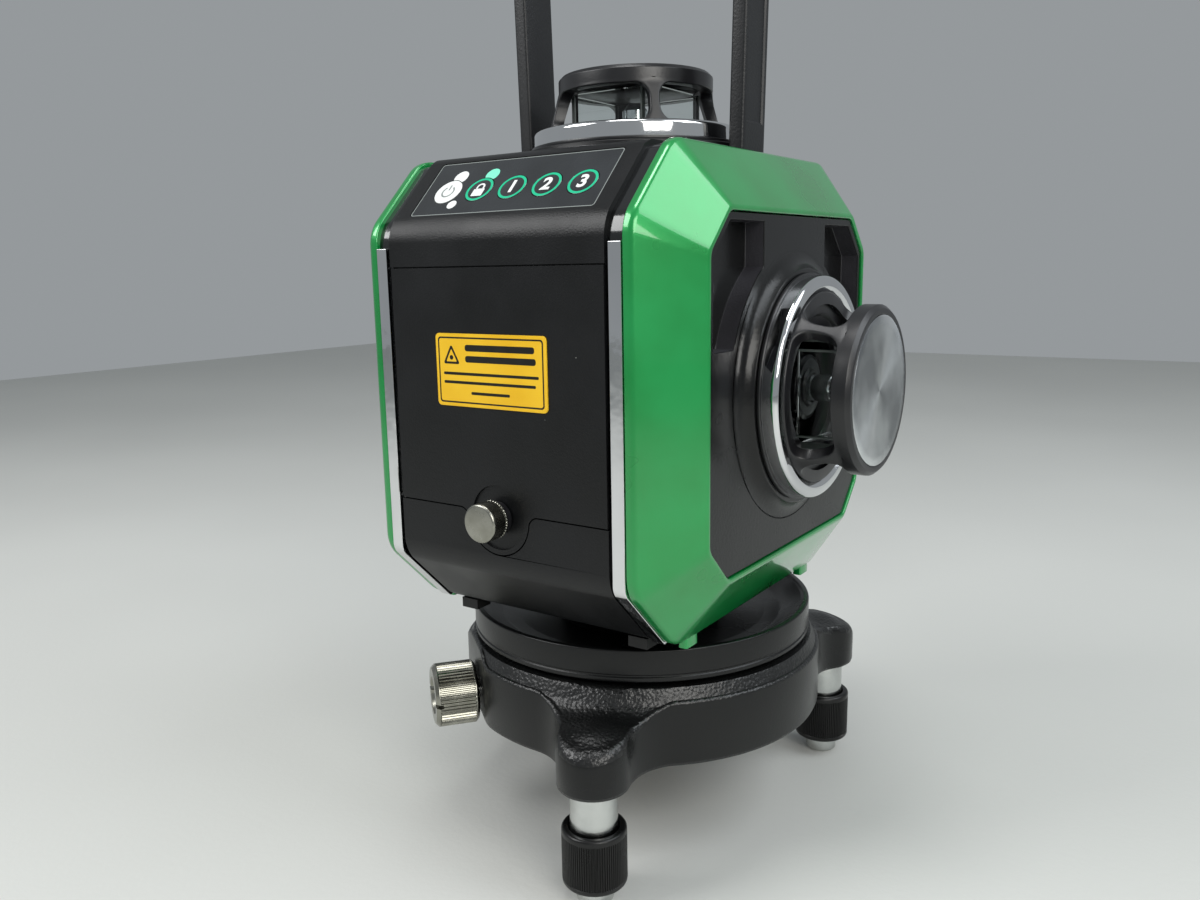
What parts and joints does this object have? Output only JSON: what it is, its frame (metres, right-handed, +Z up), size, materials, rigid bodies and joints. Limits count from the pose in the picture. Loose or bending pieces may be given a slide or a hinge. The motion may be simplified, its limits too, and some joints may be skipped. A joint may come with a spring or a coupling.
{
  "type": "self-levelling line laser on a rotating levelling base",
  "caption": "Three-plane line laser in an octagonal housing with carrying handle, on a turntable base with fine-turn knob and levelling feet.",
  "frame": {"origin": "mouth of the tripod thread on the turntable axis", "axes": "+Z up along the turntable axis, -Y towards the key and battery side, +X towards the side line head"},
  "size_m": [0.1558, 0.1628, 0.3222],
  "materials": {
    "base_paint": "cast, black wrinkle paint",
    "table_paint": "turned, satin black paint",
    "brass": "turned",
    "nylon": "moulded",
    "steel": "turned",
    "nickel": "knurled and nickel plated",
    "knob_black": "knurled",
    "rubber": "moulded",
    "shell_black": "fine texture",
    "frame_green": "pearl green lacquer",
    "panel_black": "semi-gloss",
    "chrome": "bright plated",
    "label": "printed film",
    "cage_black": "satin",
    "cap_alu": "spun",
    "glass": "clear",
    "alloy": "milled",
    "module_black": "anodised black",
    "magnet": "plated",
    "board": "solder mask",
    "battery": "moulded",
    "key_black": "film",
    "key_white": "film",
    "handle_black": "bent strip, satin powder coat"
  },
  "bodies": {
    "base": {"base_casting": "base_paint", "tripod_bush": "brass", "spindle_bush": "brass", "thrust_washer": "nylon", "leg_sleeves": "steel", "knob_bush": "brass"},
    "fine_drive": {"fine_knob": "nickel", "fine_shaft": "steel", "drive_roller": "rubber"},
    "head": {"turntable_disc": "table_paint", "turntable_spindle": "steel", "spindle_nut": "steel", "rear_shell": "shell_black", "front_shell": "shell_black", "left_frame": "frame_green", "right_frame": "frame_green", "left_panel": "panel_black", "right_panel": "panel_black", "left_trim": "chrome", "right_trim": "chrome", "housing_feet": "rubber", "housing_screws": "steel", "screw_insert": "brass", "battery_pack": "battery", "control_overlay": "panel_black", "circuit_boards": "board", "handle": "handle_black", "top_bezel": "chrome", "side_bezel": "chrome", "front_bezel": "chrome", "top_cage": "cage_black", "side_cage": "cage_black", "front_cage": "cage_black", "cap_discs": "cap_alu", "head_windows": "glass", "chassis": "alloy", "damping_magnet": "magnet"},
    "cover": {"battery_cover": "shell_black", "label_plate": "label"},
    "screw_slide": {"screw_retainer": "steel"},
    "screw": {"cover_screw": "nickel"},
    "gimbal": {"gimbal_ring": "alloy"},
    "pendulum": {"pendulum": "alloy", "balance_weights": "brass", "laser_modules": "module_black", "cone_prisms": "glass"},
    "foot_1": {"foot_pad_1": "steel"},
    "foot_screw_1": {"foot_knob_1": "knob_black", "foot_spindle_1": "steel"},
    "foot_2": {"foot_pad_2": "steel"},
    "foot_screw_2": {"foot_knob_2": "knob_black", "foot_spindle_2": "steel"},
    "foot_3": {"foot_pad_3": "steel"},
    "foot_screw_3": {"foot_knob_3": "knob_black", "foot_spindle_3": "steel"},
    "key_power": {"key_power": "key_white"},
    "key_lock": {"key_lock": "key_black"},
    "key_1": {"key_1": "key_black"},
    "key_2": {"key_2": "key_black"},
    "key_3": {"key_3": "key_black"}
  },
  "joints": [
    {"name": "turntable_turn", "type": "hinge", "parent": "base", "child": "head", "pos_m": [0, 0, 0.0272], "axis": [0, 0, 1], "continuous": true},
    {"name": "fine_knob_turn", "type": "hinge", "parent": "base", "child": "fine_drive", "pos_m": [-0.03776, -0.04663, 0.009], "axis": [-0.6293, -0.7771, 0], "continuous": true},
    {"name": "cover_open", "type": "hinge", "parent": "head", "child": "cover", "pos_m": [0, -0.06915, 0.14017], "axis": [-1, 0, 0], "range_deg": [0, 30]},
    {"name": "screw_out", "type": "slide", "parent": "cover", "child": "screw_slide", "axis": [0, -1, 0], "range_m": [0, 0.0035]},
    {"name": "screw_turn", "type": "hinge", "parent": "screw_slide", "child": "screw", "pos_m": [0, -0.075, 0.0761], "axis": [0, -1, 0], "range_deg": [0, 2520]},
    {"name": "gimbal_roll", "type": "hinge", "parent": "head", "child": "gimbal", "pos_m": [0, 0, 0.1502], "axis": [1, 0, 0], "range_deg": [-4, 4]},
    {"name": "gimbal_pitch", "type": "hinge", "parent": "gimbal", "child": "pendulum", "pos_m": [0, 0, 0.1502], "axis": [0, 1, 0], "range_deg": [-4, 4]},
    {"name": "foot_1_height", "type": "slide", "parent": "base", "child": "foot_1", "axis": [0, 0, -1], "range_m": [-0.004, 0.004]},
    {"name": "foot_1_turn", "type": "hinge", "parent": "foot_1", "child": "foot_screw_1", "pos_m": [0.02426, -0.0632, -0.0165], "axis": [0, 0, -1], "range_deg": [-1440, 1440]},
    {"name": "foot_2_height", "type": "slide", "parent": "base", "child": "foot_2", "axis": [0, 0, -1], "range_m": [-0.004, 0.004]},
    {"name": "foot_2_turn", "type": "hinge", "parent": "foot_2", "child": "foot_screw_2", "pos_m": [0.0426, 0.05261, -0.0165], "axis": [0, 0, -1], "range_deg": [-1440, 1440]},
    {"name": "foot_3_height", "type": "slide", "parent": "base", "child": "foot_3", "axis": [0, 0, -1], "range_m": [-0.004, 0.004]},
    {"name": "foot_3_turn", "type": "hinge", "parent": "foot_3", "child": "foot_screw_3", "pos_m": [-0.06687, 0.01059, -0.0165], "axis": [0, 0, -1], "range_deg": [-1440, 1440]},
    {"name": "key_power_press", "type": "slide", "parent": "head", "child": "key_power", "axis": [0, 0.7071, -0.7071], "range_m": [0, 0.0006], "stiffness_N_per_m": 300, "springref_m": -0.0005},
    {"name": "key_lock_press", "type": "slide", "parent": "head", "child": "key_lock", "axis": [0, 0.7071, -0.7071], "range_m": [0, 0.0006], "stiffness_N_per_m": 300, "springref_m": -0.0005},
    {"name": "key_1_press", "type": "slide", "parent": "head", "child": "key_1", "axis": [0, 0.7071, -0.7071], "range_m": [0, 0.0006], "stiffness_N_per_m": 300, "springref_m": -0.0005},
    {"name": "key_2_press", "type": "slide", "parent": "head", "child": "key_2", "axis": [0, 0.7071, -0.7071], "range_m": [0, 0.0006], "stiffness_N_per_m": 300, "springref_m": -0.0005},
    {"name": "key_3_press", "type": "slide", "parent": "head", "child": "key_3", "axis": [0, 0.7071, -0.7071], "range_m": [0, 0.0006], "stiffness_N_per_m": 300, "springref_m": -0.0005}
  ],
  "couplings": [
    {"joint": "fine_knob_turn", "follows": "turntable_turn", "ratio": -10},
    {"joint": "screw_turn", "follows": "screw_out", "rad_per_m": 12566},
    {"joint": "foot_1_turn", "follows": "foot_1_height", "rad_per_m": 6283.2},
    {"joint": "foot_2_turn", "follows": "foot_2_height", "rad_per_m": 6283.2},
    {"joint": "foot_3_turn", "follows": "foot_3_height", "rad_per_m": 6283.2}
  ]
}
